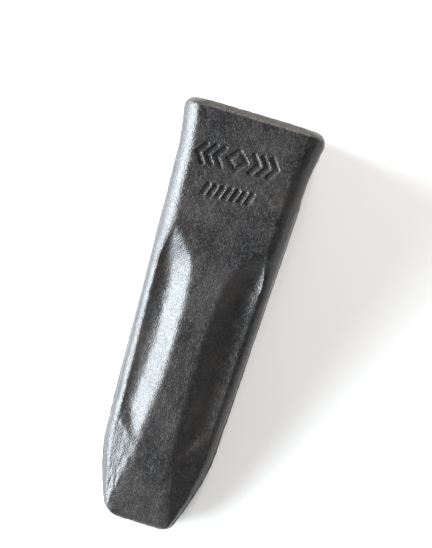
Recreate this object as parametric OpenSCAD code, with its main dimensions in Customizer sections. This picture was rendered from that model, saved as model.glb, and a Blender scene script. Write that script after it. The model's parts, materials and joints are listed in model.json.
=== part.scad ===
// Bucket tooth for a 40 tonne class excavator, with the pin and the retainer that lock it to its adapter.
// Everything is drawn along the tooth, with the lock pin's centre at the origin: +X runs to the cutting
// edge, +Y along the pin and +Z up. lay_down() then tips it on to its lower broad face.

/* [Tooth] */
// Length from the rear rim to the cutting edge
tooth_l = 370; // [308:1:444]
// Width at the rear rim, without its flare
box_w = 121; // [112:0.5:146]
// How far the rim flares out on each side
rim_flare = 5; // [4.2:0.1:6]
// Width where the sides begin to curve in to the tip
tip_w = 98.5; // [82:0.5:118]
// Width of the cutting edge
edge_w = 58; // [49:0.5:69]
// Height over the rear rim
rim_h = 144; // [120:0.5:173]
// Height where the tip bevel begins
tip_h = 48; // [40:0.5:58]
// Thickness of the blunt cutting edge
edge_t = 18; // [15:0.5:22]
// Length of the rim's flare
flare_l = 47; // [39:0.5:56]
// Length of the bevel that forms the tip
bevel_l = 62; // [52:0.5:74]
// Length over which the sides curve in
tip_curve_l = 72; // [60:0.5:86]
// Radius along the four long edges of the box
edge_r = 16; // [12:0.5:19]
// Rounding of the outer edge of the rim
rim_r = 5; // [4:0.5:6]
// Rounding of the rim's corners, seen from above
rim_corner_r = 12; // [10:0.5:14]

/* [Flutes] */
// Depth of the four flutes
flute_d = 12; // [9:0.5:14.5]
// Distance from the rim to the outer start of a flute
flute_start = 103; // [86:1:123]
// How much further forward a flute starts beside the rib
flute_arch = 40; // [34:0.5:48]
// Width of the flat top of the rib
rib_w = 26; // [22:0.5:31]
// Width of the rib where the bevel begins
rib_tip_w = 35; // [29:0.5:42]
// Width of the slope from the rib to the lowest line of a flute
rib_slope = 18; // [15:0.5:21.5]
// Distance from the cutting edge to the place where a flute runs out at the side
flute_runout = 96; // [80:1:115]

/* [Socket] */
// Thickness of the side walls at the mouth, without the flare
side_wall = 12; // [10:0.5:14.5]
// Thickness of the upper and lower walls at the rim
top_wall = 16; // [13.5:0.5:19]
// Depth of the socket
socket_l = 150; // [125:1:180]
// Length of the parallel stretch at the socket's floor
socket_land = 28; // [23:0.5:33]
// Thickness of the side walls at the socket's floor
side_floor_wall = 15.5; // [13:0.5:18.5]
// Thickness left between a flute and the socket's floor
flute_floor_wall = 9; // [7.5:0.5:10.5]
// Corner radius of the socket
socket_r = 13; // [11:0.5:15.5]

/* [Lock pin] */
// Diameter of the lock pin
pin_d = 28; // [23.5:0.5:33.5]
// Distance from the rim to the pin's centre
pin_back = 45; // [40:0.5:54]
// Radial clearance of the pin in the tooth's two holes
hole_clear = 1; // [0.8:0.1:1.2]
// How far each end of the pin lies below its spot face
pin_sink = 2; // [1.7:0.1:2.4]
// Width of the spot face around each hole
spot_rim = 6; // [5:0.5:7]
// Depth of the spot face below the straight side
spot_deep = 1; // [0.8:0.1:1.2]
// Depth of the retainer's groove in the pin
groove_deep = 2.5; // [2.1:0.1:3]
// Chamfer on the ends of the pin
pin_chamfer = 3; // [2.5:0.1:3.6]

/* [Retainer] */
// Thickness of rubber outside the split ring
bush_rubber = 6.75; // [5.7:0.05:8.1]
// Thickness of the rubber bush
bush_t = 12; // [10:0.5:14.5]
// Thickness of the split ring
ring_t = 5; // [4.2:0.1:6]
// Radial width of the split ring outside the pin
ring_out = 4; // [3.4:0.1:4.8]
// Width of the split in the ring
ring_gap = 7; // [5.8:0.1:8.4]
// Depth of the retainer's channel in the inner wall
channel_deep = 5; // [4.2:0.1:6]
// Gap between the bush and the sides of its channel
channel_clear = 1; // [0.8:0.1:1.2]
// Running gap between the bush and the channel's floor
seat_gap = 0.3; // [0.25:0.05:0.4]
// Gap between the ring and the pin's groove, and between the ring and the bush
ring_clear = 0.25; // [0.2:0.05:0.3]

/* [Hidden] */

BLACK_PAINT = "#26272b";
BRIGHT_STEEL = "#8f9296";
SPRING_STEEL = "#6d7078";
RUBBER = "#151515";

bevel_start = tooth_l - bevel_l;
curve_start = tooth_l - tip_curve_l;
runout_start = tooth_l - flute_runout;
wedge = atan((rim_h - tip_h) / 2 / bevel_start);
cut_more = 20; // how far a cutting solid runs past the face it cuts
curve_power = 1.5; // how the sides bend in to the tip, and out to the rim

// Places and sizes below are measured from the rim: s is the distance from it.
function unit(x) = min(1, max(0, x));
function ease(x) = let (c = unit(x)) c * c * (3 - 2 * c);
function mix(a, b, t) = a + (b - a) * t;

function straight_half(s) = mix(box_w, tip_w, s / curve_start) / 2;
function half_w(s) =
    s < curve_start ? straight_half(s) + rim_flare * pow(max(0, 1 - s / flare_l), curve_power)
    : mix(tip_w, edge_w, pow((s - curve_start) / tip_curve_l, curve_power)) / 2;

function half_h(s) =
    s < bevel_start ? mix(rim_h, tip_h, s / bevel_start) / 2
    : mix(tip_h, edge_t, (s - bevel_start) / bevel_l) / 2;

ridge_r = 7;
tip_r = 3.5;
// Radius of the long edge: full on the box, small along the outer ridge of a flute and at the tip.
function long_r(s) =
    mix(edge_r, ridge_r, ease((s - flute_start) / flute_arch))
    - (ridge_r - tip_r) * ease((s - bevel_start) / bevel_l);

// Half-width of the rib's flat top, wider at both ends, and then of the bevelled facet.
rib_root_more = 4;
function rib_half(s) =
    rib_w / 2
    + rib_root_more * pow(unit((flute_start + 90 - s) / 54), 2)
    + (rib_tip_w - rib_w) / 2 * pow(unit((s - bevel_start + 100) / 100), 2)
    + (edge_w - rib_tip_w) / 2 * max(0, s - bevel_start) / bevel_l;

// The facet beside the bevel is the plane through the bevel's slanted edge and the flute's run-out.
bevel_drop = (tip_h - edge_t) / 2;
facet_spread = (edge_w - rib_tip_w) / 2;
runout_back = bevel_start - runout_start;
runout_h = half_h(runout_start) - flute_d;
runout_out = half_w(runout_start) - rib_tip_w / 2;
facet_fall =
    (tip_h / 2 - runout_h + runout_back * bevel_drop / bevel_l)
    / (runout_out + runout_back * facet_spread / bevel_l);
facet_along = (bevel_drop - facet_fall * facet_spread) / bevel_l;
function facet_h(s, y) =
    tip_h / 2 - facet_along * (s - bevel_start) - facet_fall * (y - rib_tip_w / 2);

// How far the rim's corners are rounded in from the sides.
function corner_in(s) =
    let (back = max(0, rim_corner_r - s)) rim_corner_r - sqrt(rim_corner_r * rim_corner_r - back * back);

// Depth of a flute at one place: the least of its three slopes and its full depth. Its lowest line runs
// along the foot of the rib's slope, and from there it rises gently to the outer ridge.
flute_ramp = 0.45;
function flute_at(s, y) =
    let (back = flute_start + flute_arch * pow(unit((half_w(s) - y) / (half_w(s) - rib_w / 2)), 1.6))
    let (start = (s - back) * flute_ramp)
    let (inner = (y - rib_half(s)) / rib_slope * flute_d)
    let (line = ridge_line(s), wide = max(2, line - rib_half(s) - rib_slope))
    let (outer = mix(ridge_drop(s), flute_d, (line - y) / wide))
    max(0, min(flute_d, start, inner, outer));
function ridge_line(s) = half_w(s) - long_r(s);
function ridge_drop(s) =
    flute_d * (1 - pow(1 - unit((s - flute_start) / (runout_start - flute_start)), 5));

// The flute's far end climbs to the facet, on a line from the ridge to the rib's corner.
flute_end = 0.34;
function end_line(y) =
    mix(runout_start, bevel_start, unit((half_w(runout_start) - y) / runout_out));
function deepest(s, y) =
    max(0, half_h(s) - facet_h(s, y) + flute_end * max(0, end_line(y) - s));

function top_h(s, y) =
    let (fluted = half_h(s) - min(flute_at(s, y), deepest(s, y)))
    s > runout_start ? min(fluted, facet_h(s, y)) : fluted;

// One quarter of the cross-section, from the middle of the top to the middle of the side.
function across_top(rib, line) =
    let (low = min(rib + rib_slope, mix(rib, line, 0.8)))
    concat([for (t = [0, 0.33, 0.67, 1]) mix(rib, low, t)], [for (t = [0.25, 0.5, 0.75, 1]) mix(low, line, t)]);
arc_steps = 5;
side_draft = 1.5;
function quarter(s, inset) =
    let (w = half_w(s) - max(inset, corner_in(s)), r = long_r(s), line = w - r)
    let (rib = min(rib_half(s), line - 4))
    let (edge_h = top_h(s, line) - inset)
    let (side_h = max(edge_h - r, 0.6))
    concat(
        [[0, half_h(s) - inset]],
        [for (y = across_top(rib, line)) [y, top_h(s, y) - inset]],
        [for (i = [1 : arc_steps])
            let (a = 90 * i / arc_steps, tall = edge_h - side_h)
            [line + (r - side_draft) * sin(a), side_h + tall * cos(a)]],
        [[w - side_draft / 2, side_h / 2]],
        [[w, 0]]
    );
function flipped(list) = [for (i = [len(list) - 1 : -1 : 0]) list[i]];
function inner_points(list) = [for (i = [1 : len(list) - 2]) list[i]];
function full_ring(s, inset) =
    let (q = quarter(s, inset), mid = inner_points(q), last = len(q) - 1)
    concat(
        [q[0]], mid, [q[last]],
        [for (p = flipped(mid)) [p[0], -p[1]]],
        [[0, -q[0][1]]],
        [for (p = mid) [-p[0], -p[1]]],
        [[-q[last][0], 0]],
        [for (p = flipped(mid)) [-p[0], p[1]]]
    );

// Stations along the tooth: rounded rim, box, flutes, bevel and rounded cutting edge.
round_turns = [0, 22.5, 45, 67.5, 90];
edge_round = 4;
function rounded_start(r) = [for (a = round_turns) [r * (1 - cos(a)), r * (1 - sin(a))]];
function rounded_end(r) = [for (a = round_turns) [tooth_l - r * (1 - sin(a)), r * (1 - cos(a))]];
body_stations = [
    for (t = [0.6, 0.8, 1]) t * rim_corner_r,
    for (t = [0.4, 0.55, 0.75, 1]) t * flare_l,
    (flare_l + flute_start) / 2,
    for (i = [0 : 11]) flute_start + i * flute_arch / 7,
    for (i = [1 : 6]) mix(flute_start + 11 / 7 * flute_arch, runout_start, i / 6),
    for (i = [1 : 4]) mix(runout_start, bevel_start, i / 4),
    for (i = [1 : 5]) mix(bevel_start, tooth_l - edge_round - 2, i / 5)
];
stations = concat(
    rounded_start(rim_r),
    [for (s = body_stations) [s, 0]],
    rounded_end(edge_round)
);

// A closed solid through rings that all have the same number of points.
module loft(rings) {
    count = len(rings[0]);
    last = len(rings) - 1;
    function centre(ring) = [ring[0][0], 0, 0];
    points = concat([for (ring = rings) each ring], [centre(rings[0]), centre(rings[last])]);
    first_centre = len(points) - 2;
    last_centre = len(points) - 1;
    function next(j) = (j + 1) % count;
    sides = [
        for (i = [0 : last - 1]) for (j = [0 : count - 1])
            let (a = i * count + j, b = i * count + next(j))
            each [[a, b, a + count], [b, b + count, a + count]]
    ];
    first_cap = [for (j = [0 : count - 1]) [next(j), j, first_centre]];
    last_cap = [for (j = [0 : count - 1]) [last * count + j, last * count + next(j), last_centre]];
    polyhedron(points, concat(sides, first_cap, last_cap), convexity = 6);
}

module tooth_blank() {
    loft([
        for (st = stations)
            [for (p = full_ring(st[0], st[1])) [st[0] - pin_back, p[0], p[1]]]
    ]);
}

mouth_w = box_w - 2 * side_wall;
mouth_h = rim_h - 2 * top_wall;
floor_w = 2 * (straight_half(socket_l) - side_floor_wall);
floor_h = 2 * (half_h(socket_l) - flute_d - flute_floor_wall);
land_start = socket_l - socket_land;
corner_steps = 8;
function socket_w(s) = mix(mouth_w, floor_w, min(1, s / land_start));
function socket_h(s) = mix(mouth_h, floor_h, min(1, s / land_start));

// Rounded rectangle, drawn the same way round as the rings of the tooth.
function socket_ring(s) = [
    for (corner = [0 : 3]) for (i = [0 : corner_steps])
        let (a = 90 - 90 * (corner + i / corner_steps))
        let (y = (corner < 2 ? 1 : -1) * (socket_w(s) / 2 - socket_r))
        let (z = (corner == 0 || corner == 3 ? 1 : -1) * (socket_h(s) / 2 - socket_r))
        [s - pin_back, y + socket_r * cos(a), z + socket_r * sin(a)]
];

module socket_space() {
    loft([for (s = [-cut_more, land_start, socket_l]) socket_ring(s)]);
}

hole_r = pin_d / 2 + hole_clear;
spot_r = hole_r + spot_rim;
spot_y = straight_half(pin_back) - spot_deep;
ring_out_r = pin_d / 2 + ring_out;
bush_r = ring_out_r + ring_clear + bush_rubber;
channel_y = socket_w(pin_back) / 2 + channel_deep;
channel_r = bush_r + channel_clear;

module along_y(y) {
    translate([0, y, 0]) rotate([-90, 0, 0]) children();
}

module pin_holes() {
    along_y(-box_w / 2 - cut_more) cylinder(h = box_w + 2 * cut_more, r = hole_r, $fn = 96);
    along_y(spot_y) cylinder(h = cut_more, r = spot_r, $fn = 96);
    along_y(-spot_y - cut_more) cylinder(h = cut_more, r = spot_r, $fn = 96);
}

// The retainer slides in along this channel from the mouth, and stays in it when the pin is out.
module retainer_channel() {
    along_y(-channel_y) cylinder(h = channel_y, r = channel_r, $fn = 96);
    translate([-pin_back - cut_more, -channel_y, -channel_r])
        cube([pin_back + cut_more, channel_y, 2 * channel_r]);
}

// Tips everything about the pin until the lower broad face is level.
module lay_down() {
    rotate([0, wedge, 0]) children();
}

module tooth_point() {
    color(BLACK_PAINT) lay_down() difference() {
        tooth_blank();
        socket_space();
        retainer_channel();
        pin_holes();
    }
}

pin_l = 2 * (spot_y - pin_sink);
bush_y = -channel_y + seat_gap;
ring_y = bush_y + (bush_t - ring_t) / 2;
groove_r = pin_d / 2 - groove_deep;
groove_w = ring_t + 2 * ring_clear;

module lock_pin() {
    color(BRIGHT_STEEL) lay_down() difference() {
        along_y(-pin_l / 2) rotate_extrude($fn = 96) polygon([
            [0, 0],
            [pin_d / 2 - pin_chamfer, 0],
            [pin_d / 2, pin_chamfer],
            [pin_d / 2, pin_l - pin_chamfer],
            [pin_d / 2 - pin_chamfer, pin_l],
            [0, pin_l]
        ]);
        along_y(ring_y - ring_clear) difference() {
            cylinder(h = groove_w, d = pin_d + cut_more, $fn = 96);
            translate([0, 0, -cut_more]) cylinder(h = groove_w + 2 * cut_more, r = groove_r, $fn = 96);
        }
    }
}

ring_in_r = groove_r + ring_clear;

// Split spring ring: it springs open over the pin's end and snaps into the groove.
module retainer_ring() {
    color(SPRING_STEEL) lay_down() along_y(ring_y) difference() {
        cylinder(h = ring_t, r = ring_out_r, $fn = 96);
        translate([0, 0, -cut_more]) cylinder(h = ring_t + 2 * cut_more, r = ring_in_r, $fn = 96);
        translate([0, -ring_gap / 2, -cut_more]) cube([ring_out_r + 1, ring_gap, ring_t + 2 * cut_more]);
    }
}

// Rubber bush that carries the ring in a pocket and centres it on the pin's hole.
module retainer_bush() {
    color(RUBBER) lay_down() along_y(bush_y) difference() {
        cylinder(h = bush_t, r = bush_r, $fn = 96);
        translate([0, 0, -cut_more]) cylinder(h = bush_t + 2 * cut_more, r = hole_r, $fn = 96);
        translate([0, 0, (bush_t - groove_w) / 2])
            cylinder(h = groove_w, r = ring_out_r + ring_clear, $fn = 96);
    }
}

tooth_point();
lock_pin();
retainer_ring();
retainer_bush();
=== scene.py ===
"""Cast rock tooth for a digging bucket, with the pin and the rubber-backed ring that lock it on."""

import json
import math

import bmesh
import bpy
from bpy.props import FloatProperty, FloatVectorProperty, IntProperty, PointerProperty
from mathutils import Matrix, Vector, noise


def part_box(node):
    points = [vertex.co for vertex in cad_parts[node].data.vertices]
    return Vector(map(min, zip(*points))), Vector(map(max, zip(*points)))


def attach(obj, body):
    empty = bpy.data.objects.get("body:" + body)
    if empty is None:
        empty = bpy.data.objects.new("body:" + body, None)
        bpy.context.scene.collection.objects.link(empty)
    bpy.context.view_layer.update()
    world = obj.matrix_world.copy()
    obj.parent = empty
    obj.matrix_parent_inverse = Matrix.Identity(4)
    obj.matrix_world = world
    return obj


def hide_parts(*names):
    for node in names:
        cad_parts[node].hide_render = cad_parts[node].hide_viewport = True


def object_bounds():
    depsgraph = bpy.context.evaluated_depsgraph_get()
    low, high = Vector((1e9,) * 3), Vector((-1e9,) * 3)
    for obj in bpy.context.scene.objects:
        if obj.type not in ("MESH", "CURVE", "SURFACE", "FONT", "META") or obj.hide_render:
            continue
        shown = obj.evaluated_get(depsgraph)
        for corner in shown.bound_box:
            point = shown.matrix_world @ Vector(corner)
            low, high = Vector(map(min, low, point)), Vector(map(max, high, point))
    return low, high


bl_info = {
    "name": "Bucket Tooth",
    "version": (1, 0, 0),
    "blender": (4, 5, 0),
    "location": "View3D > Sidebar > Bucket Tooth",
    "description": "Models a cast rock tooth for a digging bucket, with its lock pin and retainer",
    "category": "Add Mesh",
}

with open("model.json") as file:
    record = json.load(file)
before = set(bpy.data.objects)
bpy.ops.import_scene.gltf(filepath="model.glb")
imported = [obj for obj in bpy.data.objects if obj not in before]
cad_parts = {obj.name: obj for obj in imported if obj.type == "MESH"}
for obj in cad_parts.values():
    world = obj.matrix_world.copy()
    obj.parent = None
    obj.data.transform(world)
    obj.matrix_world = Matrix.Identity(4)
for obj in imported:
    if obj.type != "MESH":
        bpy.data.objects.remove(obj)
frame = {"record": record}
CAD_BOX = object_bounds()

MM = 0.001
MOUNTS = {mount["name"]: mount for mount in frame["record"]["mounts"]}
MOUTH = Vector(MOUNTS["nose_socket"]["pos_m"])
SOCKET_FLOOR = Vector(MOUNTS["socket_floor"]["pos_m"])
OUT_OF_MOUTH = Vector(MOUNTS["nose_socket"]["axis"])
WEDGE = math.atan2(OUT_OF_MOUTH.z, -OUT_OF_MOUTH.x)
PIN_BACK = MOUTH.length
SOCKET_DEPTH = (SOCKET_FLOOR - MOUTH).length
PIN_RADIUS = MOUNTS["lock_pin"]["dims"]["r_mm"] * MM
# Turns a shape that is drawn along the tooth, about the pin, on to its lower broad face.
LAY_DOWN = Matrix.Rotation(WEDGE, 4, "Y")


class BucketToothCasting(bpy.types.PropertyGroup):
    length: FloatProperty(
        name="Length", default=0.37, min=0.0, unit="LENGTH",
        description="From the rear rim to the cutting edge",
    )
    box_width: FloatProperty(
        name="Width at the rim", default=0.121, min=0.0, unit="LENGTH",
        description="Width at the rear rim, without its flare",
    )
    rim_flare: FloatProperty(
        name="Rim flare", default=0.005, min=0.0, unit="LENGTH",
        description="How far the rim flares out on each side",
    )
    flare_length: FloatProperty(
        name="Flare length", default=0.047, min=0.0, unit="LENGTH",
        description="Length of the rim's flare",
    )
    tip_width: FloatProperty(
        name="Width before the tip", default=0.0985, min=0.0, unit="LENGTH",
        description="Width where the sides begin to curve in",
    )
    curve_length: FloatProperty(
        name="Curved length", default=0.072, min=0.0, unit="LENGTH",
        description="Length over which the sides curve in to the tip",
    )
    edge_width: FloatProperty(
        name="Edge width", default=0.058, min=0.0, unit="LENGTH",
        description="Width of the cutting edge",
    )
    rim_height: FloatProperty(
        name="Height at the rim", default=0.144, min=0.0, unit="LENGTH",
        description="Height over the rear rim",
    )
    tip_height: FloatProperty(
        name="Height before the bevel", default=0.048, min=0.0, unit="LENGTH",
        description="Height where the tip's bevel begins",
    )
    bevel_length: FloatProperty(
        name="Bevel length", default=0.062, min=0.0, unit="LENGTH",
        description="Length of the bevel that forms the tip",
    )
    edge_thickness: FloatProperty(
        name="Edge thickness", default=0.018, min=0.0, unit="LENGTH",
        description="Thickness of the blunt cutting edge",
    )
    long_edge_radius: FloatProperty(
        name="Long edge radius", default=0.016, min=0.0, unit="LENGTH",
        description="Radius along the four long edges of the box",
    )
    ridge_radius: FloatProperty(
        name="Ridge radius", default=0.0095, min=0.0, unit="LENGTH",
        description="Radius along the outer ridge of a flute",
    )
    tip_radius: FloatProperty(
        name="Tip edge radius", default=0.0035, min=0.0, unit="LENGTH",
        description="Radius along the sides of the tip",
    )
    rim_corner: FloatProperty(
        name="Rim corner radius", default=0.012, min=0.0, unit="LENGTH",
        description="Rounding of the rim's corners, seen from above",
    )
    rim_radius: FloatProperty(
        name="Rim radius", default=0.006, min=0.0, unit="LENGTH",
        description="Rounding of the outer edge of the rim",
    )
    flute_depth: FloatProperty(
        name="Flute depth", default=0.012, min=0.0, unit="LENGTH",
        description="Depth of the four flutes",
    )
    flute_start: FloatProperty(
        name="Flute start", default=0.103, min=0.0, unit="LENGTH",
        description="From the rim to the outer start of a flute",
    )
    flute_arch: FloatProperty(
        name="Flute arch", default=0.04, min=0.0, unit="LENGTH",
        description="How much further forward a flute starts beside the rib",
    )
    flute_runout: FloatProperty(
        name="Flute run-out", default=0.096, min=0.0, unit="LENGTH",
        description="From the cutting edge to where a flute runs out at the side",
    )
    rib_width: FloatProperty(
        name="Rib width", default=0.026, min=0.0, unit="LENGTH",
        description="Width of the flat top of the rib",
    )
    rib_tip_width: FloatProperty(
        name="Rib width at the bevel", default=0.035, min=0.0, unit="LENGTH",
        description="Width of the rib where the bevel begins",
    )
    rib_slope: FloatProperty(
        name="Rib slope", default=0.018, min=0.0, unit="LENGTH",
        description="Width of the slope from the rib to a flute's floor",
    )
    rib_drift: FloatProperty(
        name="Rib drift", default=0.0025, min=0.0, unit="LENGTH",
        description="How far the cast rib wanders off centre towards the tip",
    )
    side_wall: FloatProperty(
        name="Side wall", default=0.012, min=0.0, unit="LENGTH",
        description="Thickness of the side walls at the mouth, without the flare",
    )
    side_floor_wall: FloatProperty(
        name="Side wall at the floor", default=0.0155, min=0.0, unit="LENGTH",
        description="Thickness of the side walls at the socket's floor",
    )
    top_wall: FloatProperty(
        name="Top wall", default=0.016, min=0.0, unit="LENGTH",
        description="Thickness of the upper and lower walls at the rim",
    )
    flute_floor_wall: FloatProperty(
        name="Wall under a flute", default=0.009, min=0.0, unit="LENGTH",
        description="Metal between a flute and the socket's floor",
    )
    socket_land: FloatProperty(
        name="Socket land", default=0.028, min=0.0, unit="LENGTH",
        description="Length of the parallel stretch at the socket's floor",
    )
    socket_radius: FloatProperty(
        name="Socket radius", default=0.013, min=0.0, unit="LENGTH",
        description="Corner radius of the socket",
    )
    hole_clearance: FloatProperty(
        name="Hole clearance", default=0.001, min=0.0, unit="LENGTH",
        description="Radial clearance of the pin in the tooth's two holes",
    )
    spot_rim: FloatProperty(
        name="Spot face width", default=0.006, min=0.0, unit="LENGTH",
        description="Width of the spot face around each hole",
    )
    spot_depth: FloatProperty(
        name="Spot face depth", default=0.001, min=0.0, unit="LENGTH",
        description="Depth of a spot face below the straight side",
    )
    channel_depth: FloatProperty(
        name="Channel depth", default=0.005, min=0.0, unit="LENGTH",
        description="Depth of the retainer's channel in the inner wall",
    )
    channel_clearance: FloatProperty(
        name="Channel clearance", default=0.001, min=0.0, unit="LENGTH",
        description="Gap between the bush and the sides of its channel",
    )
    mark_depth: FloatProperty(
        name="Mark depth", default=0.0017, min=0.0, unit="LENGTH",
        description="Depth of the cast maker's pattern",
    )
    swell: FloatProperty(
        name="Casting swell", default=0.00045, min=0.0, unit="LENGTH",
        description="Depth of the long uneven waves in the cast skin",
    )
    ripple: FloatProperty(
        name="Casting ripple", default=0.0003, min=0.0, unit="LENGTH",
        description="Depth of the short uneven waves in the cast skin",
    )


class BucketToothLock(bpy.types.PropertyGroup):
    pin_chamfer: FloatProperty(
        name="Pin chamfer", default=0.003, min=0.0, unit="LENGTH",
        description="Chamfer on the ends of the pin",
    )
    groove_depth: FloatProperty(
        name="Groove depth", default=0.0025, min=0.0, unit="LENGTH",
        description="Depth of the ring's groove in the pin",
    )
    ring_clearance: FloatProperty(
        name="Ring clearance", default=0.00025, min=0.0, unit="LENGTH",
        description="Gap around the ring in its groove and in the bush",
    )
    ring_gap: FloatProperty(
        name="Ring gap", default=0.007, min=0.0, unit="LENGTH",
        description="Width of the split in the ring",
    )
    turns: IntProperty(
        name="Steps", default=144, min=24, subtype="UNSIGNED",
        description="Steps in a full turn of a round piece",
    )


class BucketToothColours(bpy.types.PropertyGroup):
    paint: FloatVectorProperty(
        name="Paint", default=(0.0105, 0.0100, 0.0102, 1.0), min=0.0, max=1.0, size=4, subtype="COLOR",
        description="Black paint on the casting",
    )
    bloom: FloatVectorProperty(
        name="Paint bloom", default=(0.034, 0.029, 0.026, 1.0), min=0.0, max=1.0, size=4, subtype="COLOR",
        description="Dusty brown bloom on the paint",
    )
    # Also painted over the rim band, where it stands partly for a painted highlight on the rim's rounded
    # edge; in the socket it is the casting's own scale.
    scale: FloatVectorProperty(
        name="Mill scale", default=(0.038, 0.033, 0.027, 1.0), min=0.0, max=1.0, size=4, subtype="COLOR",
        description="Brown-grey scale where the paint is thin, on the rim and in the socket",
    )
    dust: FloatVectorProperty(
        name="Dust", default=(0.12, 0.105, 0.085, 1.0), min=0.0, max=1.0, size=4, subtype="COLOR",
        description="Dry dust on the rim and in the corners",
    )
    steel: FloatVectorProperty(
        name="Steel", default=(0.46, 0.465, 0.47, 1.0), min=0.0, max=1.0, size=4, subtype="COLOR",
        description="Bright turned steel of the pin",
    )
    spring: FloatVectorProperty(
        name="Spring steel", default=(0.17, 0.18, 0.21, 1.0), min=0.0, max=1.0, size=4, subtype="COLOR",
        description="Blued steel of the split ring",
    )
    rubber: FloatVectorProperty(
        name="Rubber", default=(0.018, 0.018, 0.019, 1.0), min=0.0, max=1.0, size=4, subtype="COLOR",
        description="Black moulded rubber",
    )
    floor: FloatVectorProperty(
        name="Floor", default=(0.9, 0.9, 0.9, 1.0), min=0.0, max=1.0, size=4, subtype="COLOR",
        description="Pale floor under the tooth",
    )


# Shapes


def unit(x):
    return min(1.0, max(0.0, x))


def ease(x):
    x = unit(x)
    return x * x * (3 - 2 * x)


def mix(a, b, t):
    return a + (b - a) * t


def soft_min(a, b, blend):
    """The lesser of two heights, with the crease between them rounded over blend."""
    near = max(blend - abs(a - b), 0.0) / blend
    return min(a, b) - near * near * blend / 4


def soft_max(a, b, blend):
    return -soft_min(-a, -b, blend)


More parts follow.
